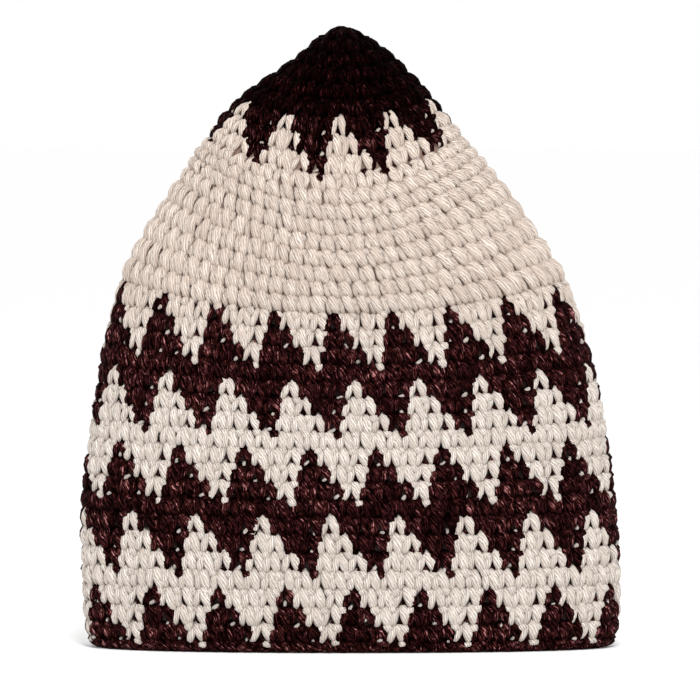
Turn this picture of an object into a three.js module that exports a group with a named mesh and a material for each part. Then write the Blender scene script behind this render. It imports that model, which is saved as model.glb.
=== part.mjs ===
// A tall pointed kufi, crocheted in rounds with a dark brown and an ivory yarn.
// It stands open on its rim, flattened a little from front to back.
// Millimetres, +Z up, the front faces -Y, and the origin is at the middle of the rim's underside.
// Every colour band is one closed ring of fabric. Its edges are the zigzags of the stitch chart.

import * as THREE from 'three';

// Driving dimensions
const width = 219;
const depth = 74;
const height = 254;
const wall = 5;
const seamGap = 0.35;
const ovalPower = 2.2;

// Stitch counts of the rounds
const repeatStitches = 4;
const sideRepeats = 18;
const crownRepeats = 10;

// Each round sits this many stitches further along than the round below it.
const roundLean = 0.2;
// Where the first stitch of a repeat sits at round 0, in stitches from the front's middle
const sidePhase = -2.54;
const crownPhase = -1.98;

// Rounds counted up from the rim, where one colour band ends and the next begins
const rimTop = 1;
const lowIvoryTop = 5;
const lowBrownTop = 9;
const midIvoryTop = 13;
const midBrownTop = 17;
const fieldTop = 29;
const tipRound = 38;
// Rounds over which the wall turns level, so that the rim stands flat
const levelRounds = 3;

// Rounds that each stitch of a repeat climbs above the band's last full round
const brownTeeth = [1, 0, 3, 2];
const ivoryTeeth = [3, 2, 1, 0];

// The shape, one row for each measured round.
// up is a share of the height, side of half the width, front of half the depth.
// sway shifts a round sideways, a share of the width.
// lift raises a round at its two sides, a share of the height.
const shapeTable = [
  { round: 0, up: 0.000, side: 0.950, front: 0.950, sway: 0.000, lift: 0.000 },
  { round: 1, up: 0.017, side: 0.985, front: 0.985, sway: 0.000, lift: 0.000 },
  { round: 4, up: 0.101, side: 1.000, front: 1.000, sway: 0.000, lift: 0.003 },
  { round: 8, up: 0.216, side: 0.996, front: 1.000, sway: -0.005, lift: 0.008 },
  { round: 12, up: 0.325, side: 0.963, front: 1.000, sway: -0.006, lift: 0.014 },
  { round: 16, up: 0.432, side: 0.914, front: 0.990, sway: -0.009, lift: 0.026 },
  { round: 20, up: 0.540, side: 0.834, front: 0.975, sway: -0.017, lift: 0.050 },
  { round: 22.5, up: 0.601, side: 0.744, front: 0.958, sway: -0.023, lift: 0.072 },
  { round: 25.5, up: 0.675, side: 0.588, front: 0.890, sway: -0.027, lift: 0.086 },
  { round: 29, up: 0.762, side: 0.472, front: 0.786, sway: -0.031, lift: 0.060 },
  { round: 32, up: 0.855, side: 0.359, front: 0.620, sway: -0.028, lift: 0.029 },
  { round: 35, up: 0.933, side: 0.209, front: 0.420, sway: -0.018, lift: 0.013 },
  { round: 37, up: 0.979, side: 0.092, front: 0.230, sway: -0.014, lift: 0.004 },
  { round: tipRound, up: 1.000, side: 0.000, front: 0.000, sway: -0.014, lift: 0.000 },
];

// Numerical helpers: samples of one oval, and the step for slopes
const ovalSamples = 240;
const slopeStep = 0.02;
const shareStep = 0.002;

// The colours of the two yarns
const brownYarn = { color: 0x32191a, roughness: 0.85, metalness: 0 };
const ivoryYarn = { color: 0xd9c7b9, roughness: 0.9, metalness: 0 };

// One column of the table at any round, on a smooth curve through its rows
function tableValue(column, round) {
  const last = shapeTable.length - 1;
  let index = 0;
  while (index < last - 1 && round > shapeTable[index + 1].round) index += 1;
  const from = shapeTable[index];
  const to = shapeTable[index + 1];
  const before = shapeTable[Math.max(index - 1, 0)];
  const after = shapeTable[Math.min(index + 2, last)];
  const span = to.round - from.round;
  const slopeIn = (to[column] - before[column]) / (to.round - before.round) * span;
  const slopeOut = (after[column] - from[column]) / (after.round - from.round) * span;
  const t = (round - from.round) / span;
  const risen = t * t * (3 - 2 * t);
  const curved = t * (1 - t) * ((1 - t) * slopeIn - t * slopeOut);
  return from[column] + (to[column] - from[column]) * risen + curved;
}

// A point of the oval, with the angle measured from +X towards +Y
function ovalPoint(angle, halfWidth, halfDepth) {
  const power = 2 / ovalPower;
  const across = Math.cos(angle);
  const along = Math.sin(angle);
  return new THREE.Vector2(
    halfWidth * Math.sign(across) * Math.abs(across) ** power,
    halfDepth * Math.sign(along) * Math.abs(along) ** power,
  );
}

// The oval of one round, walked evenly from the front's middle towards +X
const ovals = new Map();
function ovalOf(round) {
  if (!ovals.has(round)) {
    const halfWidth = width / 2 * tableValue('side', round);
    const halfDepth = depth / 2 * tableValue('front', round);
    const points = [];
    const walked = [0];
    for (let i = 0; i <= ovalSamples; i += 1) {
      const angle = -Math.PI / 2 + 2 * Math.PI * i / ovalSamples;
      points.push(ovalPoint(angle, halfWidth, halfDepth));
      if (i > 0) walked.push(walked[i - 1] + points[i].distanceTo(points[i - 1]));
    }
    ovals.set(round, { points, walked, halfWidth });
  }
  return ovals.get(round);
}

// A point of the outer face, by its share of the way round and its round
function outerPoint(share, round) {
  const oval = ovalOf(round);
  const total = oval.walked[ovalSamples];
  const target = (share - Math.floor(share)) * total;
  let index = 1;
  while (index < ovalSamples && oval.walked[index] < target) index += 1;
  const step = oval.walked[index] - oval.walked[index - 1];
  const t = step > 0 ? (target - oval.walked[index - 1]) / step : 0;
  const flat = oval.points[index - 1].clone().lerp(oval.points[index], t);
  const sideways = oval.halfWidth > 0 ? flat.x / oval.halfWidth : 0;
  const lift = height * tableValue('lift', round) * sideways * sideways;
  return new THREE.Vector3(
    flat.x + width * tableValue('sway', round),
    flat.y,
    height * tableValue('up', round) + lift,
  );
}

// The way out of the fabric at a point of the outer face, turning level towards the rim
function outward(share, round) {
  const low = Math.max(round - slopeStep, 0);
  const high = Math.min(round + slopeStep, tipRound);
  const around = outerPoint(share + shareStep, round).sub(outerPoint(share - shareStep, round));
  const upward = outerPoint(share, high).sub(outerPoint(share, low));
  const normal = around.cross(upward).normalize();
  return normal.setZ(normal.z * Math.min(round / levelRounds, 1)).normalize();
}

function innerPoint(share, round) {
  if (round === tipRound) return outerPoint(share, round).sub(new THREE.Vector3(0, 0, wall));
  return outerPoint(share, round).addScaledVector(outward(share, round), -wall);
}

// The share of the way round where a stitch of some round sits
function stitchShare(stitch, round, sewn) {
  return (stitch + roundLean * round + sewn.phase) / (sewn.repeats * repeatStitches);
}

// Rounds by which an edge steps back, so that the steepest tooth still keeps the seam gap
function edgeStep(sewn, round) {
  const rise = outerPoint(0, round + 1).distanceTo(outerPoint(0, round));
  const stitch = ovalOf(round).walked[ovalSamples] / (sewn.repeats * repeatStitches);
  const steepest = Math.max(...brownTeeth) * rise / stitch;
  return seamGap / 2 * Math.hypot(1, steepest) / rise;
}

// A line around the hat: one place for each stitch, as its share of the way and its round
function line(sewn, roundOfStitch) {
  const places = [];
  for (let stitch = 0; stitch < sewn.repeats * repeatStitches; stitch += 1) {
    const round = roundOfStitch(stitch);
    places.push({ share: stitchShare(stitch, round, sewn), round });
  }
  return places;
}

// A zigzag edge: teeth above a full round, stepped back from the seam by one side's gap
function toothedLine(sewn, round, teeth, side) {
  const step = side * edgeStep(sewn, round);
  return line(sewn, (stitch) => round + teeth[stitch % repeatStitches] + step);
}

function levelLine(sewn, round) {
  return line(sewn, () => round);
}

// A line part of the way between two lines with as many stitches
function lineBetween(lower, upper, t) {
  return lower.map((place, i) => ({
    share: THREE.MathUtils.lerp(place.share, upper[i].share, t),
    round: THREE.MathUtils.lerp(place.round, upper[i].round, t),
  }));
}

function facePoints(places, pointAt) {
  return places.map((place) => ({ share: place.share, point: pointAt(place.share, place.round) }));
}

// The same ring, started at its first place past a given share
function ringFrom(ring, share) {
  const past = (place) => place.share - share - Math.floor(place.share - share);
  const start = ring.reduce((best, place, i) => (past(place) < past(ring[best]) ? i : best), 0);
  return ring.map((_, i) => ring[(start + i) % ring.length]);
}

// Triangles between two closed rings. Rings of equal number are joined stitch by stitch, and
// others by their places around the hat. The lower ring leads at the corners, or else the upper.
function strip(triangles, lower, ring, lowerLeads) {
  const paired = lower.length === ring.length;
  const upper = paired ? ring : ringFrom(ring, lower[0].share);
  const wayAt = (places, i) => {
    if (paired) return i;
    const share = places[i % places.length].share - lower[0].share;
    return share - Math.floor(share) + Math.floor(i / places.length);
  };
  const at = (places, i) => places[i % places.length].point;
  const lowerEnd = lower.length > 1 ? lower.length : 0;
  const upperEnd = upper.length > 1 ? upper.length : 0;
  let i = 0;
  let j = 0;
  while (i < lowerEnd || j < upperEnd) {
    const ahead = wayAt(lower, i + 1) - wayAt(upper, j + 1);
    const lowerNext = lowerLeads ? ahead <= 0 : ahead < 0;
    if (j >= upperEnd || (i < lowerEnd && lowerNext)) {
      triangles.push(at(lower, i), at(lower, i + 1), at(upper, j));
      i += 1;
    } else {
      triangles.push(at(lower, i), at(upper, j + 1), at(upper, j));
      j += 1;
    }
  }
}

// One closed band of fabric, from its lines on the outer face and on the inner face
function fabric(name, yarn, outerLines, innerLines) {
  const rings = [
    ...outerLines.map((places) => facePoints(places, outerPoint)),
    ...innerLines.map((places) => facePoints(places, innerPoint)).reverse(),
  ];
  const triangles = [];
  for (let i = 0; i < rings.length; i += 1) {
    const underside = i === rings.length - 1;
    const next = underside ? rings[0] : rings[i + 1];
    if (rings[i].length > 1 || next.length > 1) strip(triangles, rings[i], next, !underside);
  }
  const geometry = new THREE.BufferGeometry().setFromPoints(triangles);
  geometry.computeVertexNormals();
  const mesh = new THREE.Mesh(geometry, new THREE.MeshStandardMaterial(yarn));
  mesh.name = name;
  return mesh;
}

const sides = { repeats: sideRepeats, phase: sidePhase };
const crown = { repeats: crownRepeats, phase: crownPhase };

// A band between two zigzags, with one line halfway on the outer face
function zigzagBand(name, yarn, bottomRound, bottomTeeth, topRound, topTeeth) {
  const bottom = toothedLine(sides, bottomRound, bottomTeeth, 1);
  const top = toothedLine(sides, topRound, topTeeth, -1);
  return fabric(name, yarn, [bottom, lineBetween(bottom, top, 0.5), top], [bottom, top]);
}

// The rim: the last round, tucked in where it stands, and the brown teeth that rise from it
function rim() {
  const foot = levelLine(sides, 0);
  const tuck = levelLine(sides, rimTop * 0.5);
  const top = toothedLine(sides, rimTop, brownTeeth, -1);
  return fabric('rim_brown', brownYarn, [foot, tuck, top], [foot, tuck, top]);
}

// The plain ivory field, where the rounds grow from the crown's stitches to the sides'
function field() {
  const bottom = toothedLine(sides, midBrownTop, brownTeeth, 1);
  const top = toothedLine(crown, fieldTop, ivoryTeeth, -1);
  const length = fieldTop - midBrownTop;
  const levels = [0.45, 0.7].map((share) => levelLine(sides, midBrownTop + length * share));
  const shoulder = levelLine(crown, fieldTop - length * 0.1);
  return fabric(
    'upper_field_ivory', ivoryYarn,
    [bottom, ...levels, shoulder, top], [bottom, ...levels, top],
  );
}

// The crown: teeth that hang into the field, and plain rounds that close at the tip
function crownCap() {
  const bottom = toothedLine(crown, fieldTop, ivoryTeeth, 1);
  const plain = fieldTop + Math.max(...ivoryTeeth);
  const length = tipRound - plain;
  const outer = [0.2, 0.42, 0.64, 0.84].map((share) => levelLine(crown, plain + length * share));
  const inner = [outer[0], outer[2]];
  const tip = [{ share: 0, round: tipRound }];
  return fabric('crown_brown', brownYarn, [bottom, ...outer, tip], [bottom, ...inner, tip]);
}

const bands = new THREE.Group();
bands.add(
  rim(),
  zigzagBand('low_band_ivory', ivoryYarn, rimTop, brownTeeth, lowIvoryTop, ivoryTeeth),
  zigzagBand('low_band_brown', brownYarn, lowIvoryTop, ivoryTeeth, lowBrownTop, brownTeeth),
  zigzagBand('middle_band_ivory', ivoryYarn, lowBrownTop, brownTeeth, midIvoryTop, ivoryTeeth),
  zigzagBand('middle_band_brown', brownYarn, midIvoryTop, ivoryTeeth, midBrownTop, brownTeeth),
  field(),
  crownCap(),
);

const kufi = new THREE.Group();
kufi.add(bands);

export default kufi;
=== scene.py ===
# %% [markdown]
# A crocheted kufi, stitch by stitch.
#
# The real hat is one fabric: single crochet in rounds, worked from the tip down to the rim in two
# cotton yarns. Every stitch shows as two plump legs of yarn that meet at the top, with the loop of
# its head beside them. This lesson builds that fabric from about two thousand stitches that lie on
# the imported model. That model gives the hat its size, so we load it first and never change it.

# %% Load the frame
import math

import bmesh
import bpy
import numpy as np
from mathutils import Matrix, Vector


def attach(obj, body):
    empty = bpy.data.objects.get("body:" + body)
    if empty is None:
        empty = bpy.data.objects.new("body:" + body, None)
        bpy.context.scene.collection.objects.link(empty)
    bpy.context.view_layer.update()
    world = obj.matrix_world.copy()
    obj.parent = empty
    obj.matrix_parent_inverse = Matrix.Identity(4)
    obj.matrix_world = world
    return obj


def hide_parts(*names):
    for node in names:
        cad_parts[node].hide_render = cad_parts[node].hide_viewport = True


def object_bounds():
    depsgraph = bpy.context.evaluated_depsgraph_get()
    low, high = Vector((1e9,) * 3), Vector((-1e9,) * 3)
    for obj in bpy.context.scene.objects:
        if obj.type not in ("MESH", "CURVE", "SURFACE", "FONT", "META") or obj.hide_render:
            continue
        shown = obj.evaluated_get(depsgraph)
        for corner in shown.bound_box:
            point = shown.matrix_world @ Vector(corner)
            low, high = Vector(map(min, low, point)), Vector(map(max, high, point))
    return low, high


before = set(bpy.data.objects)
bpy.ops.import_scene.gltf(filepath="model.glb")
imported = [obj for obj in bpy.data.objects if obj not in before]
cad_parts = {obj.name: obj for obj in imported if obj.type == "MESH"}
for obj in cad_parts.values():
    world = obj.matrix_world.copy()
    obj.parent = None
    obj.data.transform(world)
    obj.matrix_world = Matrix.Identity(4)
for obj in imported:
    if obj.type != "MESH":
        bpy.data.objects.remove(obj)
cad_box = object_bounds()
print("frame nodes:", sorted(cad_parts))

# %% [markdown]
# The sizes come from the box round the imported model. Everything else is a share of the hat's
# width, depth and height, or of one stitch, so the fabric always fits its frame. A stitch of this
# yarn is a little under 7 mm. The rounds are ovals slightly squarer than an ellipse, whose power
# would be 2.

# %% Sizes from the frame
box_low, box_high = cad_box
hat_width = box_high.x - box_low.x
hat_depth = box_high.y - box_low.y
hat_height = box_high.z - box_low.z
stitch_size = 0.00685
oval_power = 2.2
print("hat:", round(hat_width, 4), round(hat_depth, 4), round(hat_height, 4))

# %% [markdown]
# The form of the hat is a stack of flattened ovals, one for each measured round of crochet. A
# modelled surface could be sculpted freely, but a crocheter thinks in rounds, so the table has a
# row for a round. `up` is a share of the height, `side` and `front` are shares of half the width
# and half the depth, `sway` shifts the round sideways by a share of the width and `lift` raises
# its two ends by a share of the height.

# %% The rounds that give the form
tip_round = 38
form_table = [
    {"round": 0, "up": 0.000, "side": 0.950, "front": 0.950, "sway": 0.000, "lift": 0.000},
    {"round": 1, "up": 0.017, "side": 0.985, "front": 0.985, "sway": 0.000, "lift": 0.000},
    {"round": 4, "up": 0.101, "side": 1.000, "front": 1.000, "sway": 0.000, "lift": 0.003},
    {"round": 8, "up": 0.216, "side": 0.996, "front": 1.000, "sway": -0.005, "lift": 0.008},
    {"round": 12, "up": 0.325, "side": 0.963, "front": 1.000, "sway": -0.006, "lift": 0.014},
    {"round": 16, "up": 0.432, "side": 0.914, "front": 0.990, "sway": -0.009, "lift": 0.026},
    {"round": 20, "up": 0.540, "side": 0.829, "front": 0.975, "sway": -0.015, "lift": 0.050},
    {"round": 22.5, "up": 0.601, "side": 0.722, "front": 0.958, "sway": -0.020, "lift": 0.072},
    {"round": 25.5, "up": 0.675, "side": 0.578, "front": 0.890, "sway": -0.024, "lift": 0.086},
    {"round": 29, "up": 0.762, "side": 0.472, "front": 0.786, "sway": -0.031, "lift": 0.060},
    {"round": 32, "up": 0.855, "side": 0.359, "front": 0.620, "sway": -0.028, "lift": 0.029},
    {"round": 35, "up": 0.933, "side": 0.190, "front": 0.420, "sway": -0.013, "lift": 0.013},
    {"round": 37, "up": 0.979, "side": 0.080, "front": 0.230, "sway": -0.013, "lift": 0.004},
    {"round": tip_round, "up": 1.0, "side": 0.0, "front": 0.0, "sway": -0.014, "lift": 0.0},
]
table_rounds = np.array([row["round"] for row in form_table], float)


def form_value(name, rounds):
    """One column of the table at any rounds, on a smooth curve through its rows."""
    column = np.array([row[name] for row in form_table])
    last = len(column) - 1
    index = np.clip(np.searchsorted(table_rounds, rounds, side="right") - 1, 0, last - 1)
    before = np.maximum(index - 1, 0)
    after = np.minimum(index + 2, last)
    span = table_rounds[index + 1] - table_rounds[index]
    slope_in = (column[index + 1] - column[before]) / (table_rounds[index + 1] - table_rounds[before])
    slope_out = (column[after] - column[index]) / (table_rounds[after] - table_rounds[index])
    part = (rounds - table_rounds[index]) / span
    risen = part * part * (3 - 2 * part)
    curved = part * (1 - part) * ((1 - part) * slope_in - part * slope_out) * span
    return column[index] + (column[index + 1] - column[index]) * risen + curved


print("rounds in the table:", len(form_table))

# %% [markdown]
# Stitches sit evenly along a round, so we need the way round each oval measured along its curve.
# We sample every oval, add up the lengths, and read off points at even shares. The result is a
# net of points over the whole hat, with its outward directions. Close to the rim those
# directions are turned level, so that no yarn is pushed down into the floor.

# %% A net over the whole fabric
net_step = 0.1
net_columns = 361
oval_samples = 721
level_rounds = 3
net_shares = np.linspace(0, 1, net_columns)
net_rounds = np.arange(0, tip_round + net_step / 2, net_step)


def oval_at(round_number):
    """Points at even shares of the way round one oval, from the front's middle towards +X."""
    form = {
        name: form_value(name, np.array([round_number]))[0]
        for name in ("up", "side", "front", "sway", "lift")
    }
    angle = np.linspace(-math.pi / 2, 1.5 * math.pi, oval_samples)
    power = 2 / oval_power
    half_width = hat_width / 2 * form["side"]
    half_depth = hat_depth / 2 * form["front"]
    x = half_width * np.sign(np.cos(angle)) * np.abs(np.cos(angle)) ** power
    y = half_depth * np.sign(np.sin(angle)) * np.abs(np.sin(angle)) ** power
    walked = np.concatenate([[0], np.cumsum(np.hypot(np.diff(x), np.diff(y)))])
    target = net_shares * walked[-1]
    even_x = np.interp(target, walked, x)
    even_y = np.interp(target, walked, y)
    sideways = even_x / max(half_width, 1e-6)
    lift = hat_height * form["lift"] * sideways**2
    even_x = even_x + hat_width * form["sway"]
    return np.stack([even_x, even_y, hat_height * form["up"] + lift], axis=1)


net_points = np.array([oval_at(number) for number in net_rounds])
along = np.gradient(net_points, axis=1)
along[:, 0] = along[:, -1] = net_points[:, 1] - net_points[:, -2]
upward = np.gradient(net_points, axis=0)
net_normals = np.cross(along, upward)
net_normals[:, :, 2] *= np.minimum(net_rounds / level_rounds, 1)[:, None]
net_normals /= np.maximum(np.linalg.norm(net_normals, axis=2, keepdims=True), 1e-12)
net_normals[-1] = (0, 0, 1)
print("net:", net_points.shape)

# %% [markdown]
# A bit of yarn lies at some share of the way round, at some round, and a little outside or inside
# the fabric's outer face. Two helpers turn such a place into a point of space. They read no
# further than a hair below the net's top row, so that there is always a row above. A Shrinkwrap
# modifier could lay yarn on a surface too, but it wouldn't keep the stitches' even spacing.

# %% Places on the fabric
last_row = len(net_rounds) - 1.001


def read_net(net, share, rounds):
    """Values of the net at any shares and rounds, mixed from its four nearest places."""
    column = (share % 1.0) * (net_columns - 1)
    row = np.clip(rounds / net_step, 0, last_row)
    left = np.minimum(column.astype(int), net_columns - 2)
    below = row.astype(int)
    right_share = (column - left)[..., None]
    above_share = (row - below)[..., None]
    low = net[below, left] * (1 - right_share) + net[below, left + 1] * right_share
    high = net[below + 1, left] * (1 - right_share) + net[below + 1, left + 1] * right_share
    return low * (1 - above_share) + high * above_share


def on_fabric(share, rounds, out):
    """Points of space for places on the fabric, `out` metres outside its outer face."""
    point = read_net(net_points, share, rounds)
    normal = read_net(net_normals, share, rounds)
    normal /= np.maximum(np.linalg.norm(normal, axis=-1, keepdims=True), 1e-9)
    return point + normal * out[..., None]


front_middle = on_fabric(np.zeros(1), np.array([tip_round / 2]), np.zeros(1))[0]
print("middle of the front, half the rounds up:", front_middle.round(4))

# %% [markdown]
# The colours come from a stitch chart, as they do for the crocheter: a repeat of four stitches.
# Each seam between two colours has a last full round and four teeth, the rounds that each stitch
# of the repeat climbs above it. Counting the seams below a stitch gives its band. A round has 72
# stitches up to the plain field, 40 where the crown begins and 8 at the tip.

# %% The stitch chart
repeat = 4
brown_teeth = [1, 0, 3, 2]
ivory_teeth = [3, 2, 1, 0]
seams = [
    (1, brown_teeth), (5, ivory_teeth), (9, brown_teeth),
    (13, ivory_teeth), (17, brown_teeth), (29, ivory_teeth),
]
bands = [
    ("rim_brown", "brown"), ("low_band_ivory", "ivory"), ("low_band_brown", "brown"),
    ("middle_band_ivory", "ivory"), ("middle_band_brown", "brown"),
    ("upper_field_ivory", "ivory"), ("crown_brown", "brown"),
]
side_stitches = 72
crown_stitches = 40
tip_stitches = 8
side_round, crown_low, crown_high = 20, 30, 32
side_phase, crown_phase = -2.54, -1.98
round_lean = 0.2


def stitches_in(number):
    """How many stitches a round has, counted up from the rim."""
    marks = [side_round, crown_low, crown_high, tip_round]
    counts = [side_stitches, crown_stitches, crown_stitches, tip_stitches]
    return int(round(np.interp(number, marks, counts)))


def phase_of(number):
    """How far the chart is turned round the hat, in stitches: less at the crown than below."""
    return np.interp(number, [side_round, crown_low], [side_phase, crown_phase])


def band_of(number, stitch):
    """The band of one stitch: the number of seams that lie below it."""
    return sum(number > last + teeth[stitch % repeat] for last, teeth in seams)


chart = []
for number in range(1, tip_round + 1):
    for stitch in range(stitches_in(number)):
        chart.append((number, stitch, band_of(number, stitch)))
print("stitches:", len(chart))

# %% [markdown]
# In the patterned rounds the stitches sit evenly and each round leans a little past the one below.
# The plain field is where the hat narrows: its columns run straight up, and here and there two of
# them meet in one stitch. We take the places of the round below, leave out a few stitches that
# are far from each other, and let the others move up. Each stitch is made as wide as half the
# way between its two neighbours, so that the fabric stays closed.

# %% Where each stitch sits
plain_low, plain_high = side_round + 1, 28
golden_turn = 0.381966
turns_a_round = 3.3
settling_steps = 14
neighbour_pull = 0.3


def even_places(number):
    """Shares of the way round for the middles of evenly spaced stitches."""
    leaned = round_lean * (number - 0.5) + phase_of(number)
    return (np.arange(stitches_in(number)) + leaned) / stitches_in(number)


def neighbours(places):
    """The places of the stitch before and of the stitch after each one."""
    before = np.roll(places, 1)
    before[0] -= 1
    after = np.roll(places, -1)
    after[-1] += 1
    return before, after


def narrowed_places(below, count, first):
    """The places of the round below with a few stitches left out and the rest moved up."""
    left_out = len(below) - count
    spots = (first + golden_turn * np.arange(left_out)) % 1.0
    kept = np.delete(below, (spots * len(below)).astype(int))
    for _ in range(settling_steps):
        before, after = neighbours(kept)
        kept = kept * (1 - 2 * neighbour_pull) + (before + after) * neighbour_pull
    return kept


def widths_of(places):
    """How wide each stitch is, as a share of the round's mean width."""
    before, after = neighbours(places)
    return (after - before) / 2 * len(places)


stitch_places = {number: even_places(number) for number in range(1, tip_round + 1)}
for number in range(plain_low, plain_high + 1):
    start = golden_turn * turns_a_round * number % 1.0
    stitch_places[number] = narrowed_places(
        stitch_places[number - 1], stitches_in(number), start
    )
stitch_widths = {number: widths_of(places) for number, places in stitch_places.items()}
field_counts = [stitches_in(number) for number in range(side_round, crown_low)]
print("stitches round the field:", field_counts)
print("widest stitch:", round(max(widths.max() for widths in stitch_widths.values()), 2))

# %% [markdown]
# Every visible bit of yarn is a short strand. We model one straight strand with bmesh operators: a
# circle, extruded ring by ring and closed at both ends. Its UV map records the way along the yarn
# and the way round it, which the yarn's material needs for its plies. Low counts are enough,
# because the strand repeats thousands of times.

# %% One straight strand
def raise_ring(bm, ring, rise):
    """Extrude a ring of edges once, move the new ring up and give back its edges."""
    grown = bmesh.ops.extrude_edge_only(bm, edges=ring)["geom"]
    verts = [item for item in grown if isinstance(item, bmesh.types.BMVert)]
    bmesh.ops.translate(bm, verts=verts, vec=(0, 0, rise))
    fresh = set(verts)
    edges = [item for item in grown if isinstance(item, bmesh.types.BMEdge)]
    return [edge for edge in edges if fresh.issuperset(edge.verts)]


def straight_strand(sides, steps):
    """The mesh data of a closed strand along +Z, 1 long and 2 across."""
    bm = bmesh.new()
    bmesh.ops.create_circle(bm, cap_ends=False, segments=sides, radius=1.0)
    ring = bm.edges[:]
    for _ in range(steps):
        ring = raise_ring(bm, ring, 1 / steps)
    bmesh.ops.holes_fill(bm, edges=[edge for edge in bm.edges if edge.is_boundary], sides=0)
    bmesh.ops.recalc_face_normals(bm, faces=bm.faces[:])
    bm.verts.ensure_lookup_table()
    places = np.array([vert.co[:] for vert in bm.verts])
    faces = [[vert.index for vert in face.verts] for face in bm.faces]
    bm.free()
    around = np.arctan2(places[:, 1], places[:, 0]) / (2 * math.pi) % 1.0
    uv = []
    for face in faces:
        turns = around[face]
        turns = np.where(turns < turns.max() - 0.5, turns + 1, turns)
        uv.extend(zip(places[face, 2], turns))
    return {"places": places, "faces": faces, "uv": np.array(uv)}


leg_strand = straight_strand(sides=8, steps=5)
head_strand = straight_strand(sides=6, steps=4)
inner_strand = straight_strand(sides=4, steps=2)
print("faces of a leg:", len(leg_strand["faces"]), "of a head:", len(head_strand["faces"]))

# %% [markdown]
# A stitch is a few such strands, bent inside one cell of the fabric: x runs along the round, v
# runs up from one round to the next, and out is the height off the fabric, all in stitches. The
# table says where each strand starts, what it passes and where it ends, and how wide and thick it
# is. `waist` and `foot` say how much of that is left at its start and at its end.
#
# The short steep leg is on the left and the long slanting one on the right. Where the yarns change
# places the two legs spread apart, and in the plain field the right one is a broad fan that almost
# hides the left. A link outside and one inside close the last round's edge. Whole strands could be
# drawn as curves, but a table is shorter.

# %% The strands of one stitch
strand_table = {
    "left_leg": {
        "start": (0.16, 1.10, -0.44), "middle": (0.07, 0.50, -0.10), "end": (0.16, -0.16, -0.32),
        "width": 0.26, "thick": 0.21, "waist": 0.55, "foot": 0.22,
    },
    "right_leg": {
        "start": (0.26, 1.12, -0.42), "middle": (0.55, 0.54, -0.07), "end": (0.84, -0.20, -0.32),
        "width": 0.31, "thick": 0.23, "waist": 0.60, "foot": 0.22, "shear": 0.3, "tilt": 0.1,
    },
    "open_left_leg": {
        "start": (0.14, 1.10, -0.44), "middle": (0.07, 0.50, -0.10), "end": (-0.02, -0.14, -0.32),
        "width": 0.25, "thick": 0.20, "waist": 0.60, "foot": 0.22,
    },
    "open_right_leg": {
        "start": (0.32, 1.10, -0.42), "middle": (0.64, 0.60, -0.07), "end": (1.00, -0.14, -0.34),
        "width": 0.29, "thick": 0.21, "waist": 0.75, "foot": 0.20, "shear": 0.3,
    },
    "plain_left_leg": {
        "start": (0.02, 1.06, -0.40), "middle": (0.10, 0.50, -0.12), "end": (0.34, -0.13, -0.44),
        "width": 0.24, "thick": 0.21, "waist": 0.60, "foot": 0.25, "shear": 0.3,
    },
    "plain_right_leg": {
        "start": (0.38, 1.16, -0.34), "middle": (0.56, 0.57, 0.03), "end": (0.82, -0.15, -0.45),
        "width": 0.42, "thick": 0.23, "waist": 1.00, "foot": 0.10, "bulge": 0.7, "shear": 0.85,
        "tilt": 0.16,
    },
    "head": {
        "start": (0.72, 0.04, -0.34), "middle": (0.86, -0.17, 0.00), "end": (0.98, -0.46, -0.38),
        "width": 0.33, "thick": 0.17, "waist": 0.85, "foot": 0.15, "bulge": 0.7, "shear": 0.7,
        "tilt": 0.3,
    },
    "inner_bar": {
        "start": (-0.05, 0.42, -0.62), "middle": (0.50, 0.66, -0.72), "end": (1.05, 0.46, -0.62),
        "width": 0.19, "thick": 0.12, "waist": 0.55, "foot": 0.55,
    },
    "inner_drop": {
        "start": (0.42, 0.98, -0.60), "middle": (0.50, 0.50, -0.66), "end": (0.52, -0.02, -0.58),
        "width": 0.20, "thick": 0.10, "waist": 0.60, "foot": 0.60,
    },
    "rim_link": {
        "start": (0.02, 0.34, -0.46), "middle": (0.52, 0.26, -0.10), "end": (1.06, 0.30, -0.40),
        "width": 0.26, "thick": 0.20, "waist": 0.55, "foot": 0.45,
    },
    "inner_rim_link": {
        "start": (0.10, 0.30, -0.50), "middle": (0.60, 0.24, -0.62), "end": (1.12, 0.28, -0.50),
        "width": 0.26, "thick": 0.16, "waist": 0.55, "foot": 0.45,
    },
}
strand_roundness = 0.7
end_share = 0.02


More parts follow.
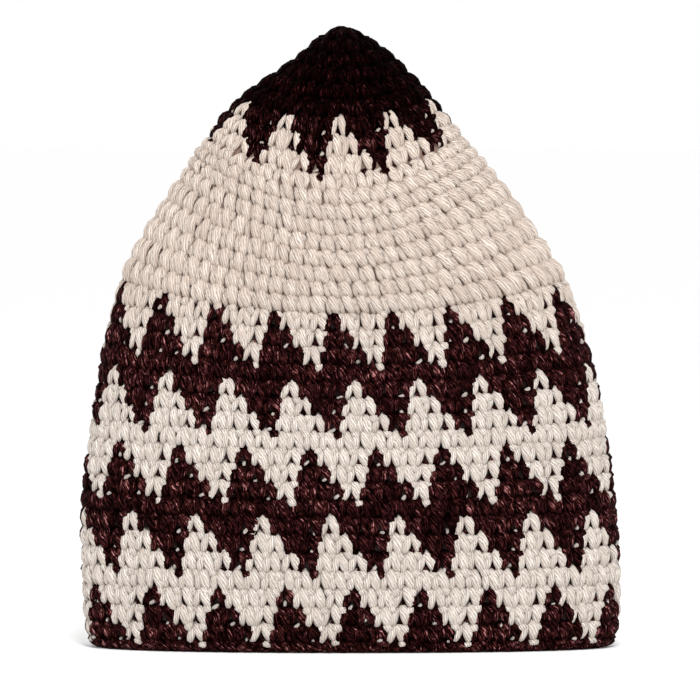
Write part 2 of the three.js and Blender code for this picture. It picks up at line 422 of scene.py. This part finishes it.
def bend_strand(strand, path, shifts, sizes, turns):
    """Copies of a straight strand, bent along one path in as many cells as there are shifts.

    `shear` draws a strand's sections level with the round, so that it opens like a fan, and `tilt`
    raises its right edge. A copy's turn slants it a little to one side."""
    places = strand["places"]
    way = places[:, 2]
    start, middle, end = (np.array(path[key]) for key in ("start", "middle", "end"))
    control = 2 * middle - (start + end) / 2
    centre = np.outer((1 - way) ** 2, start) + np.outer(2 * way * (1 - way), control)
    centre += np.outer(way**2, end)
    heading = np.outer(2 * (1 - way), control - start) + np.outer(2 * way, end - control)
    heading /= np.linalg.norm(heading, axis=1, keepdims=True)
    side = np.stack([heading[:, 1], -heading[:, 0], np.zeros(len(way))], axis=1)
    side /= np.linalg.norm(side, axis=1, keepdims=True)
    shear = path.get("shear", 0.0)
    side = side * (1 - shear) - np.array([1.0, 0.0, path.get("tilt", 0.0)]) * shear
    side /= np.linalg.norm(side, axis=1, keepdims=True)
    top = np.cross(side, heading)
    swell = np.sin(math.pi * (way * (1 - 2 * end_share) + end_share)) ** strand_roundness
    ends = path["waist"] * (1 - way) + path["foot"] * way
    profile = ends + (1 - ends) * swell * path.get("bulge", 1.0)
    offset = side * (places[:, 0] * path["width"] * profile)[:, None]
    offset += top * (places[:, 1] * path["thick"] * profile)[:, None]
    slant = np.outer(turns, way - 0.5)[..., None] * np.array([1.0, 0.0, 0.0])
    return centre[None] + shifts[:, None] + slant + offset[None] * sizes[:, None, None]


print("kinds of strand:", len(strand_table))

# %% [markdown]
# Three helpers lay the strands. One puts a mesh into the scene. One copies a bent strand to its
# cells, adds a little of the crocheter's unevenness and places every point on the fabric. One
# joins the copies, since thousands of small objects would be slow. The unevenness and the tones
# come from one seeded source of chance, so the hat comes out the same every time. A copy's tone
# also moves its UV map, so that neighbouring strands show different fibres.

# %% Lay strands on the hat
chance = np.random.default_rng(7)
floor_clearance = 0.0002
lowest_rim_round = 0.06
outward_unevenness = 0.7
slant_unevenness = 2
fibre_patterns = 97


def new_piece(name, mesh):
    """An object for a mesh, at the origin of the scene."""
    piece = bpy.data.objects.new(name, mesh)
    bpy.context.scene.collection.objects.link(piece)
    return piece


def lay_strands(strand, path, cells, unevenness):
    """Strand copies on the fabric, one in each (round, stitch) cell: (strand, points, tones)."""
    numbers = np.array([cell[0] for cell in cells], int)
    shifts = chance.normal(0, unevenness, (len(cells), 3))
    shifts[:, 2] *= outward_unevenness
    sizes = 1 + chance.normal(0, unevenness, len(cells))
    turns = chance.normal(0, unevenness * slant_unevenness, len(cells))
    local = bend_strand(strand, path, shifts, sizes, turns)
    rounds = numbers[:, None] - 1 + local[..., 1]
    counts = np.array([stitches_in(number) for number in numbers], float)[:, None]
    places = np.array([stitch_places[number][stitch] for number, stitch in cells], float)[:, None]
    widths = np.array([stitch_widths[number][stitch] for number, stitch in cells], float)[:, None]
    plain = (numbers >= plain_low) & (numbers <= plain_high)
    lean = np.where(plain, 0.0, round_lean)[:, None]
    across = (local[..., 0] - 0.5) * widths + (local[..., 1] - 0.5) * lean
    share = places + across / counts
    lowest = np.where(numbers[:, None] == 1, lowest_rim_round, 0.0)
    placed = on_fabric(share, np.clip(rounds, lowest, tip_round), local[..., 2] * stitch_size)
    placed[..., 2] = np.maximum(placed[..., 2], floor_clearance)
    return strand, placed, chance.random(len(cells))


def join_copies(name, copies):
    """One mesh object from groups of placed strand copies."""
    points, faces, uvs, tones = [], [], [], []
    first = 0
    for strand, placed, tone in copies:
        count, size = placed.shape[:2]
        points.append(placed.reshape(-1, 3))
        for copy in range(count):
            start = first + copy * size
            faces.extend([start + corner for corner in face] for face in strand["faces"])
        uv_shift = np.stack([np.floor(tone * fibre_patterns), tone], axis=1)
        uvs.append((strand["uv"][None] + uv_shift[:, None]).reshape(-1, 2))
        tones.append(np.repeat(tone, size))
        first += count * size
    mesh = bpy.data.meshes.new(name)
    mesh.from_pydata(np.concatenate(points).tolist(), [], faces)
    layer = mesh.uv_layers.new(name="yarn")
    layer.data.foreach_set("uv", np.concatenate(uvs).astype(np.float32).ravel())
    attribute = mesh.attributes.new("tone", "FLOAT", "POINT")
    attribute.data.foreach_set("value", np.concatenate(tones).astype(np.float32))
    mesh.shade_smooth()
    mesh.update()
    return new_piece(name, mesh)


print("yarn starts this high above the floor:", floor_clearance)

# %% [markdown]
# The chart sorts the stitches of a band into kinds. Those of the plain field have their own legs,
# a stitch before a change of yarn has open ones, and every stitch shows the loop of its head at
# its lower end, except in the rim's round, where the links take its place. All strands of a band
# become one joined mesh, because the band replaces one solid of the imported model.

# %% The stitches of each band
leg_unevenness, head_unevenness, inner_unevenness = 0.04, 0.05, 0.03
band_yarns = [yarn for _, yarn in bands]


def yarn_of(number, stitch):
    """The yarn of one stitch, with the stitches counted on round the hat."""
    return band_yarns[band_of(number, stitch % stitches_in(number))]


def is_turn(number, stitch):
    """Whether the yarns change places right after this stitch, which leaves a small hole."""
    return yarn_of(number, stitch) != yarn_of(number, stitch + 1)


fabric_pieces = {}
for index, (node, _) in enumerate(bands):
    cells = [(number, stitch) for number, stitch, band in chart if band == index]
    hanging = [cell for cell in cells if cell[0] > 1]
    plain = [cell for cell in cells if plain_low <= cell[0] <= plain_high]
    turning = [cell for cell in cells if is_turn(*cell)]
    patterned = [cell for cell in cells if cell not in plain and cell not in turning]
    kinds = [
        (leg_strand, "left_leg", patterned, leg_unevenness),
        (leg_strand, "right_leg", patterned, leg_unevenness),
        (leg_strand, "open_left_leg", turning, leg_unevenness),
        (leg_strand, "open_right_leg", turning, leg_unevenness),
        (leg_strand, "plain_left_leg", plain, leg_unevenness),
        (leg_strand, "plain_right_leg", plain, leg_unevenness),
        (head_strand, "head", hanging, head_unevenness),
        (inner_strand, "inner_bar", cells, inner_unevenness),
        (inner_strand, "inner_drop", cells, inner_unevenness),
    ]
    if index == 0:
        rim_cells = [cell for cell in cells if cell[0] == 1]
        kinds.append((leg_strand, "rim_link", rim_cells, inner_unevenness))
        kinds.append((leg_strand, "inner_rim_link", rim_cells, inner_unevenness))
    copies = [
        lay_strands(strand, strand_table[name], where, unevenness)
        for strand, name, where, unevenness in kinds
    ]
    piece = join_copies(node + "_stitches", copies)
    fabric_pieces[node] = piece
    triangles = sum(len(face.vertices) - 2 for face in piece.data.polygons)
    print(piece.name, "stitches:", len(cells), "triangles:", triangles)

# %% [markdown]
# In the zigzag rounds both yarns travel together, and the one that rests runs inside the
# stitches. It peeps out between the two legs: always a shade of brown inside the ivory, and bright
# specks of ivory in the brown, most of them where the yarns change places. Each peep is a short
# strand of its own, so these are two joined pieces too, one for each yarn.

# %% The carried yarn
carried_table = {
    "speck": {
        "start": (0.34, 0.02, -0.42), "middle": (0.50, 0.12, -0.10), "end": (0.62, 0.26, -0.42),
        "width": 0.125, "thick": 0.12, "waist": 0.60, "foot": 0.40,
    },
    "deep_peep": {
        "start": (0.30, 0.10, -0.44), "middle": (0.50, 0.14, -0.28), "end": (0.70, 0.22, -0.44),
        "width": 0.18, "thick": 0.12, "waist": 0.60, "foot": 0.60,
    },
    "turn_peep": {
        "start": (0.38, 0.00, -0.42), "middle": (0.50, 0.18, -0.26), "end": (0.56, 0.42, -0.42),
        "width": 0.17, "thick": 0.12, "waist": 0.70, "foot": 0.60,
    },
}
speck_unevenness, peep_unevenness = 0.09, 0.05
turn_speck_share, other_speck_share = 0.85, 0.07
turn_rounds = {number for number, stitch, _ in chart if is_turn(number, stitch)}
zigzag = [(number, stitch) for number, stitch, _ in chart if number in turn_rounds]
ivory_cells = [cell for cell in zigzag if yarn_of(*cell) == "ivory"]
turn_cells = [cell for cell in ivory_cells if is_turn(*cell)]
speck_cells = [
    cell for cell in zigzag if yarn_of(*cell) == "brown"
    and chance.random() < (turn_speck_share if is_turn(*cell) else other_speck_share)
]
carried_pieces = [
    join_copies("carried_ivory_strands", [
        lay_strands(head_strand, carried_table["speck"], speck_cells, speck_unevenness),
    ]),
    join_copies("carried_brown_strands", [
        lay_strands(head_strand, carried_table["deep_peep"], ivory_cells, peep_unevenness),
        lay_strands(head_strand, carried_table["turn_peep"], turn_cells, peep_unevenness),
    ]),
]
print("ivory specks:", len(speck_cells), "brown peeps:", len(ivory_cells) + len(turn_cells))

# %% [markdown]
# Between the outer legs and the inner bars lies the body of the stitches. It shows only through
# the small holes, where it must be closed, and its dark colour is painted shade. We make it as three
# tubes with a wall: a circle extruded in half rounds, placed on the fabric, and thickened inwards.
# In the last three rounds before the tip the core sinks deeper, so that it stays under the yarn.

# %% The core of the fabric
core_out = -0.42
core_wall = 0.18
core_segments = 120
core_step = 0.5
sinking_rounds = 3
sink_a_round = 0.12
lowest_core_round = 0.5
highest_core_round = tip_round - 0.05


def core_ring(name, low_round, high_round):
    """A closed wall of fabric between two rounds, or a cap where it reaches the tip."""
    bm = bmesh.new()
    bmesh.ops.create_circle(bm, cap_ends=False, segments=core_segments, radius=1.0)
    levels = np.arange(low_round, high_round + core_step / 2, core_step)
    ring = bm.edges[:]
    for _ in levels[1:]:
        ring = raise_ring(bm, ring, 1)
    places = np.array([vert.co[:] for vert in bm.verts])
    share = (np.arctan2(places[:, 1], places[:, 0]) / (2 * math.pi)) % 1.0
    rounds = levels[np.clip(np.round(places[:, 2]).astype(int), 0, len(levels) - 1)]
    sunk = np.clip(rounds - (tip_round - sinking_rounds), 0, sinking_rounds) * sink_a_round
    out = (core_out - sunk) * stitch_size
    for vert, point in zip(bm.verts, on_fabric(share, np.minimum(rounds, highest_core_round), out)):
        vert.co = point
    if high_round == tip_round:
        bmesh.ops.holes_fill(bm, edges=ring, sides=0)
    bmesh.ops.recalc_face_normals(bm, faces=bm.faces[:])
    bmesh.ops.solidify(bm, geom=bm.faces[:], thickness=core_wall * stitch_size)
    mesh = bpy.data.meshes.new(name)
    bm.to_mesh(mesh)
    bm.free()
    mesh.shade_smooth()
    print(name, "faces:", len(mesh.polygons))
    return new_piece(name, mesh)


core_pieces = [
    core_ring("core_zigzag_brown", lowest_core_round, side_round),
    core_ring("core_field_ivory", side_round, crown_low),
    core_ring("core_crown_brown", crown_low, tip_round),
]

# %% [markdown]
# The materials are node trees, and a few helpers keep them short to read. Most of them make one
# node from sockets or plain numbers, and give back the socket that the next node needs.

# %% Node helpers
def new_group(name, inputs, outputs):
    """A shader node group with named number sockets, and its two ends."""
    group = bpy.data.node_groups.new(name, "ShaderNodeTree")
    for label in inputs:
        group.interface.new_socket(label, in_out="INPUT", socket_type="NodeSocketFloat")
    for label in outputs:
        group.interface.new_socket(label, in_out="OUTPUT", socket_type="NodeSocketFloat")
    return group, group.nodes.new("NodeGroupInput"), group.nodes.new("NodeGroupOutput")


def new_material(name):
    """A material with nodes, its tree and its shader."""
    material = bpy.data.materials.new(name)
    material.use_nodes = True
    return material, material.node_tree, material.node_tree.nodes["Principled BSDF"]


def set_inputs(node, values):
    """Plain values on a node's own sockets, by their names."""
    for label, value in values.items():
        node.inputs[label].default_value = value


def place_group(tree, group, values):
    """A node group in a material, with this material's own values."""
    node = tree.nodes.new("ShaderNodeGroup")
    node.node_tree = group
    set_inputs(node, values)
    return node


def math_node(tree, operation, first, second=None):
    """A Math node whose inputs are sockets or plain numbers."""
    node = tree.nodes.new("ShaderNodeMath")
    node.operation = operation
    for index, value in enumerate([first, second]):
        if value is None:
            continue
        if isinstance(value, (int, float)):
            node.inputs[index].default_value = value
        else:
            tree.links.new(value, node.inputs[index])
    return node.outputs["Value"]


def noise_node(tree, place, scale, detail):
    """A Noise texture's grey value at a place."""
    node = tree.nodes.new("ShaderNodeTexNoise")
    set_inputs(node, {"Scale": scale, "Detail": detail})
    tree.links.new(place, node.inputs["Vector"])
    return node.outputs["Fac"]


def spread_node(tree, value, low, high):
    """A value spread so that `low` becomes 0 and `high` becomes 1, and held there past them."""
    node = tree.nodes.new("ShaderNodeMapRange")
    set_inputs(node, {"From Min": low, "From Max": high})
    tree.links.new(value, node.inputs["Value"])
    return node.outputs["Result"]


def colour_mix(tree, factor, first, second, blend="MIX"):
    """A colour Mix node. Colours are plain tuples or sockets."""
    node = tree.nodes.new("ShaderNodeMix")
    node.data_type = "RGBA"
    node.blend_type = blend
    tree.links.new(factor, node.inputs["Factor"])
    for socket, value in ((node.inputs["A"], first), (node.inputs["B"], second)):
        if isinstance(value, tuple):
            socket.default_value = value
        else:
            tree.links.new(value, socket)
    return node.outputs["Result"]


def raise_surface(tree, shader, height, distance):
    """A Bump node that raises the surface by a height, up to a distance in metres."""
    node = tree.nodes.new("ShaderNodeBump")
    set_inputs(node, {"Strength": 1.0, "Distance": distance})
    tree.links.new(height, node.inputs["Height"])
    tree.links.new(node.outputs["Normal"], shader.inputs["Normal"])


# %% [markdown]
# The yarn is plied cotton. The plies are fine ridges that wind along each strand, with painted
# highlights on some of their fibres and painted shade in the grooves between them. They are far too
# fine to model, so they are bump and colour, drawn from the strand's own UV map. Both yarns have
# plies, so a node group holds them. Plies is how many ridges go round a strand, Twist how far they
# wind along it, Waver how much they wander, Breaks how often a highlit fibre ends and the last input
# how much painted shade darkens the highlights towards the strand's two ends, between the rows.

# %% The plies of the yarn
wander_scale, fibre_scale = 420.0, 1.3
# Levels of the fibre noise between no painted highlight and a full one.
unlit_fibre, highlit_fibre = 0.36, 0.64
ridge_roundness, groove_roundness = 0.7, 0.9
dull_ridge_height = 0.35


def make_ply_group():
    """Ridges along a strand from its UV map, painted highlights that turn to painted shade at its
    ends, and painted shade in its grooves.
    """
    group, inlet, outlet = new_group(
        "Yarn plies",
        inputs=["Plies", "Twist", "Waver", "Breaks", "Fade"],
        outputs=["Height", "Groove shade", "Fibre highlight"],
    )
    yarn = group.nodes.new("ShaderNodeUVMap")
    yarn.uv_map = "yarn"
    split = group.nodes.new("ShaderNodeSeparateXYZ")
    group.links.new(yarn.outputs["UV"], split.inputs["Vector"])
    place = group.nodes.new("ShaderNodeTexCoord").outputs["Object"]
    wander = noise_node(group, place, wander_scale, 2.0)
    waver = math_node(group, "MULTIPLY", wander, inlet.outputs["Waver"])
    around = math_node(group, "MULTIPLY", split.outputs["Y"], inlet.outputs["Plies"])
    wound = math_node(group, "MULTIPLY", split.outputs["X"], inlet.outputs["Twist"])
    phase = math_node(group, "ADD", math_node(group, "ADD", around, wound), waver)
    wave = math_node(group, "SINE", math_node(group, "MULTIPLY", phase, math.pi))
    ridge = math_node(group, "POWER", math_node(group, "ABSOLUTE", wave), ridge_roundness)
    stretched = group.nodes.new("ShaderNodeCombineXYZ")
    broken = math_node(group, "MULTIPLY", split.outputs["X"], inlet.outputs["Breaks"])
    group.links.new(broken, stretched.inputs["X"])
    group.links.new(phase, stretched.inputs["Y"])
    fibres = noise_node(group, stretched.outputs["Vector"], fibre_scale, 1.5)
    # Fibres past the upper level get a painted highlight.
    bright = spread_node(group, fibres, unlit_fibre, highlit_fibre)
    # Towards both ends of the strand the highlights give way to painted shade, between the rows.
    way = math_node(group, "FRACT", split.outputs["X"])
    middle = math_node(group, "SINE", math_node(group, "MULTIPLY", way, math.pi))
    ends = math_node(group, "SUBTRACT", 1.0, middle)
    end_shade = math_node(group, "MULTIPLY", ends, inlet.outputs["Fade"])
    fibre_highlight = math_node(group, "MULTIPLY", bright, math_node(group, "SUBTRACT", 1.0, end_shade))
    raised = math_node(group, "ADD", fibre_highlight, dull_ridge_height)
    # The grooves between the ridges get painted shade.
    hollow = math_node(group, "SUBTRACT", 1.0, ridge)
    groove_shade = math_node(group, "POWER", hollow, groove_roundness)
    group.links.new(math_node(group, "MULTIPLY", ridge, raised), outlet.inputs["Height"])
    group.links.new(groove_shade, outlet.inputs["Groove shade"])
    group.links.new(fibre_highlight, outlet.inputs["Fibre highlight"])
    return group


ply_group = make_ply_group()
print("group:", ply_group.name, "nodes:", len(ply_group.nodes))

# %% [markdown]
# Dyed cotton is never one even tone. A second group gives each strand a tone of its own, lays soft
# patches over the hat and breaks the painted fibre highlights into small clumps. It also marks the
# hat's upper part, which the ivory makes darker and warmer, and the top of the crown, where the
# brown gets painted shade that makes it far darker. The marks start and end at shares of the hat's
# height.

# %% The uneven tone of the yarn
patch_scale, clump_scale = 28.0, 640.0
dull_clump, bright_clump = 0.41, 0.59
# The second mark is where painted shade darkens the top of the crown.
tint_heights = {"Upper": (0.433, 0.591), "Top shade": (0.728, 0.886)}


def make_tone_group():
    """The uneven tone of dyed cotton, clumps that break up the painted highlights, the mark of the
    hat's upper part, and the mark of its top for painted shade.
    """
    group, inlet, outlet = new_group(
        "Yarn tone",
        inputs=["Strand", "Patch", "Clumps"],
        outputs=["Tone", "Clump", "Upper", "Top shade"],
    )
    place = group.nodes.new("ShaderNodeTexCoord").outputs["Object"]
    tone = group.nodes.new("ShaderNodeAttribute")
    tone.attribute_name = "tone"
    strand = math_node(group, "MULTIPLY", tone.outputs["Fac"], inlet.outputs["Strand"])
    patches = noise_node(group, place, patch_scale, 3.0)
    patch = math_node(group, "MULTIPLY", patches, inlet.outputs["Patch"])
    total = math_node(group, "ADD", strand, patch)
    group.links.new(math_node(group, "MINIMUM", total, 1.0), outlet.inputs["Tone"])
    fine = noise_node(group, place, clump_scale, 1.0)
    bright = spread_node(group, fine, dull_clump, bright_clump)
    clumped = math_node(group, "MULTIPLY", bright, inlet.outputs["Clumps"])
    even = math_node(group, "SUBTRACT", 1.0, inlet.outputs["Clumps"])
    group.links.new(math_node(group, "ADD", clumped, even), outlet.inputs["Clump"])
    height = group.nodes.new("ShaderNodeSeparateXYZ")
    group.links.new(place, height.inputs["Vector"])
    for label, (start, end) in tint_heights.items():
        mark = spread_node(group, height.outputs["Z"], start * hat_height, end * hat_height)
        group.links.new(mark, outlet.inputs[label])
    return group


tone_group = make_tone_group()
print("group:", tone_group.name, "nodes:", len(tone_group.nodes))

# %% [markdown]
# Each yarn's colour runs through a ramp of three tones: its darkest fibres, partly painted shade,
# its middle tone, and painted highlights on the fibres that catch the light. The ramp is read with
# tone that differs at random mixed with those painted highlights. Painted shade darkens the grooves
# between the plies, and a Bump node raises the plies. A ramp suits the brown better than a mix of
# two colours, because its darkest fibres are a purer red than its painted highlights. The shader's
# roughness and sheen are plain values of cotton.

# %% Yarn materials
middle_tone_place = 0.4


def dye_and_highlight_ramp(tree, factor, dark, middle, light):
    """The yarn's colour from its darkest fibres, partly painted shade, to its painted highlights,
    with the middle tone well below half.
    """
    ramp = tree.nodes.new("ShaderNodeValToRGB")
    ramp.color_ramp.elements[0].color = dark
    ramp.color_ramp.elements[1].color = light
    ramp.color_ramp.elements.new(middle_tone_place).color = middle
    tree.links.new(factor, ramp.inputs["Fac"])
    return ramp.outputs["Color"]


def yarn_material(
    name, dye_and_highlight, groove_shade, depth, highlight_power, bump, plied, toned, upper_tint, top_shade_colour, finish
):
    """Plied cotton: painted highlights on its fibres, painted shade in its grooves, and raised plies.

    A higher highlight power leaves fewer fibres highlit, and more `depth` darkens the grooves with
    painted shade. `upper_tint` colours the hat above its zigzags, and the second tint is painted
    shade over the top of the crown."""
    material, tree, shader = new_material(name)
    plies = place_group(tree, ply_group, plied)
    tone = place_group(tree, tone_group, toned)
    mixed = math_node(tree, "MULTIPLY", plies.outputs["Fibre highlight"], tone.outputs["Tone"])
    mixed = math_node(tree, "MULTIPLY", mixed, tone.outputs["Clump"])
    # The ramp's factor mixes random tone with painted fibre highlights; its dark end is partly
    # painted shade.
    dyed_and_highlit = dye_and_highlight_ramp(tree, math_node(tree, "POWER", mixed, highlight_power), *dye_and_highlight)
    # Painted shade in the grooves between the plies.
    sunk = math_node(tree, "MULTIPLY", plies.outputs["Groove shade"], depth)
    yarn = colour_mix(tree, sunk, dyed_and_highlit, groove_shade)
    yarn = colour_mix(tree, tone.outputs["Upper"], yarn, upper_tint, blend="MULTIPLY")
    # Painted shade over the top of the crown.
    yarn = colour_mix(tree, tone.outputs["Top shade"], yarn, top_shade_colour, blend="MULTIPLY")
    tree.links.new(yarn, shader.inputs["Base Color"])
    raise_surface(tree, shader, plies.outputs["Height"], bump)
    set_inputs(shader, finish)
    return material


yarns = {
    "ivory": yarn_material(
        "ivory_cotton_yarn",
        dye_and_highlight=[(0.51, 0.44, 0.39, 1), (0.68, 0.62, 0.565, 1), (0.86, 0.80, 0.74, 1)],
        # The groove colour is painted shade.
        groove_shade=(0.34, 0.26, 0.205, 1),
        depth=0.72, highlight_power=1.0, bump=0.00032,
        plied={"Plies": 11.0, "Twist": -3.2, "Waver": 1.3, "Breaks": 2.4, "Fade": 0.6},
        toned={"Strand": 0.7, "Patch": 1.0, "Clumps": 0.3},
        upper_tint=(0.955, 0.905, 0.87, 1), top_shade_colour=(1, 1, 1, 1),
        finish={
            "Roughness": 0.75, "Specular IOR Level": 0.3,
            "Sheen Weight": 0.12, "Sheen Roughness": 0.4,
        },
    ),
    "brown": yarn_material(
        "brown_cotton_yarn",
        dye_and_highlight=[(0.0005, 0.0, 0.0, 1), (0.100, 0.023, 0.023, 1), (0.58, 0.25, 0.245, 1)],
        # The groove colour is painted shade.
        groove_shade=(0.0005, 0.0, 0.0, 1),
        depth=0.98, highlight_power=1.6, bump=0.0006,
        plied={"Plies": 11.0, "Twist": -4.4, "Waver": 1.6, "Breaks": 1.8, "Fade": 1.0},
        toned={"Strand": 0.7, "Patch": 1.0, "Clumps": 0.5},
        # The second tint is painted shade that darkens the top of the crown.
        upper_tint=(1, 1, 1, 1), top_shade_colour=(0.12, 0.06, 0.07, 1),
        finish={
            "Roughness": 0.6, "Specular IOR Level": 0.02,
            "Specular Tint": (1.0, 0.35, 0.33, 1),
        },
    ),
}
print("yarn materials:", [material.name for material in yarns.values()])

# %% [markdown]
# The core has no strands, so its material is a plain felt of the same fibres, with a fine grain
# from Object coordinates. It is darker than the yarn that covers it, and that darkness is painted
# shade: over brown yarn in the zigzags and the crown, while in the ivory field its brownish colour
# is all painted shade.

# %% Core materials
grain_scale = 900.0
grain_height = 0.0003


def core_material(name, dark, light):
    """Felted fibres between two tones, darkened with painted shade."""
    material, tree, shader = new_material(name)
    place = tree.nodes.new("ShaderNodeTexCoord").outputs["Object"]
    grain = noise_node(tree, place, grain_scale, 3.0)
    tree.links.new(colour_mix(tree, grain, dark, light), shader.inputs["Base Color"])
    raise_surface(tree, shader, grain, grain_height)
    set_inputs(shader, {"Roughness": 0.9, "Specular IOR Level": 0.02})
    return material


# Both tones of each core are painted shade over the colour of its yarn.
core_looks = {
    "core_zigzag_brown": core_material(
        "zigzag_core_fibre_and_shade", (0.020, 0.012, 0.011, 1), (0.070, 0.048, 0.044, 1)
    ),
    "core_field_ivory": core_material(
        "field_core_shade", (0.15, 0.095, 0.078, 1), (0.27, 0.185, 0.150, 1)
    ),
    "core_crown_brown": core_material(
        "crown_core_fibre_and_shade", (0.002, 0.0006, 0.0006, 1), (0.006, 0.002, 0.002, 1)
    ),
}
print("core materials:", [material.name for material in core_looks.values()])

# %% [markdown]
# Every piece gets its material and rides on the one body of the hat. The
# stitches of a band also stand for the solid of their band, which is then hidden.

# %% Dress the pieces
def dress(piece, material):
    """A piece with its material, on the hat's body, in the slot of its yarn."""
    piece.data.materials.append(material)
    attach(piece, "root")


for node, yarn in bands:
    dress(fabric_pieces[node], yarns[yarn])
    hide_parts(node)
for piece in core_pieces:
    dress(piece, core_looks[piece.name])
for piece in carried_pieces:
    yarn = "ivory" if "ivory" in piece.name else "brown"
    dress(piece, yarns[yarn])
print("dressed pieces:", len(fabric_pieces) + len(core_pieces) + len(carried_pieces))

# %% [markdown]
# The stage is a plain pale floor that runs far back under a pale sky, as a cut-out picture on
# white shows nothing else.

# %% Floor and sky
floor_reach = 60.0
floor_colour = (0.99, 0.99, 0.99, 1)


def make_floor():
    """A flat pale sheet at the height of the rim's underside."""
    bm = bmesh.new()
    bmesh.ops.create_grid(bm, x_segments=1, y_segments=1, size=floor_reach)
    mesh = bpy.data.meshes.new("floor")
    bm.to_mesh(mesh)
    bm.free()
    material, _, shader = new_material("pale_floor")
    set_inputs(shader, {"Base Color": floor_colour, "Roughness": 0.9})
    mesh.materials.append(material)
    return new_piece("floor", mesh)


floor = make_floor()
sky = bpy.data.worlds.new("pale_sky")
sky.use_nodes = True
set_inputs(sky.node_tree.nodes["Background"], {"Color": (1, 1, 1, 1), "Strength": 1.0})
bpy.context.scene.world = sky
bpy.context.scene.view_settings.view_transform = "Standard"
print("floor across:", round(floor.dimensions.x, 1), "m")

# %% [markdown]
# Soft studio light: a lamp high in front models the stitches, and a weaker and larger one low in
# front lifts the shadows under them a little. A lamp at the side would draw longer shadows, but
# the photo's light is nearly the same on the left and on the right. Both face the hat's middle.

# %% Lamps
lamp_target_height = 0.12


def area_lamp(name, place, size, watts):
    """A square soft lamp that faces the hat."""
    data = bpy.data.lights.new(name, "AREA")
    data.size = size
    data.energy = watts
    lamp = bpy.data.objects.new(name, data)
    lamp.location = place
    direction = lamp.location.copy()
    direction.z -= lamp_target_height
    lamp.rotation_euler = direction.to_track_quat("Z", "Y").to_euler()
    bpy.context.scene.collection.objects.link(lamp)
    return lamp


lamps = [
    area_lamp("key_lamp", place=(0.08, -1.05, 1.20), size=0.3, watts=14),
    area_lamp("fill_lamp", place=(0.1, -1.3, 0.5), size=0.9, watts=1),
]
print("lamps:", [lamp.name for lamp in lamps])

# %% [markdown]
# The camera looks at the front from just above the floor, and aims near the hat's middle. The
# picture spans about 0.29 m at the hat, which gives the lens for a comfortable distance.

# %% Camera
picture_width = 0.2865
camera_distance = 2.6
camera_rise = math.radians(2.0)
aim_x, aim_z = -0.0006, 0.1215
sensor = 36.0
camera_data = bpy.data.cameras.new("camera")
camera_data.sensor_width = sensor
camera_data.lens = sensor * camera_distance / picture_width
camera = bpy.data.objects.new("camera", camera_data)
camera.location = (
    aim_x,
    -camera_distance * math.cos(camera_rise),
    aim_z + camera_distance * math.sin(camera_rise),
)
camera.rotation_euler = (math.pi / 2 - camera_rise, 0, 0)
bpy.context.scene.collection.objects.link(camera)
bpy.context.scene.camera = camera
print("lens:", round(camera_data.lens, 1), "mm")

# %% [markdown]
# The yarn may stand a little proud of the imported model, but the hat must keep its size. So we
# write down the box from the start of the lesson.

# %% The size from the start
print("cad box:", [[round(value, 4) for value in corner] for corner in cad_box])
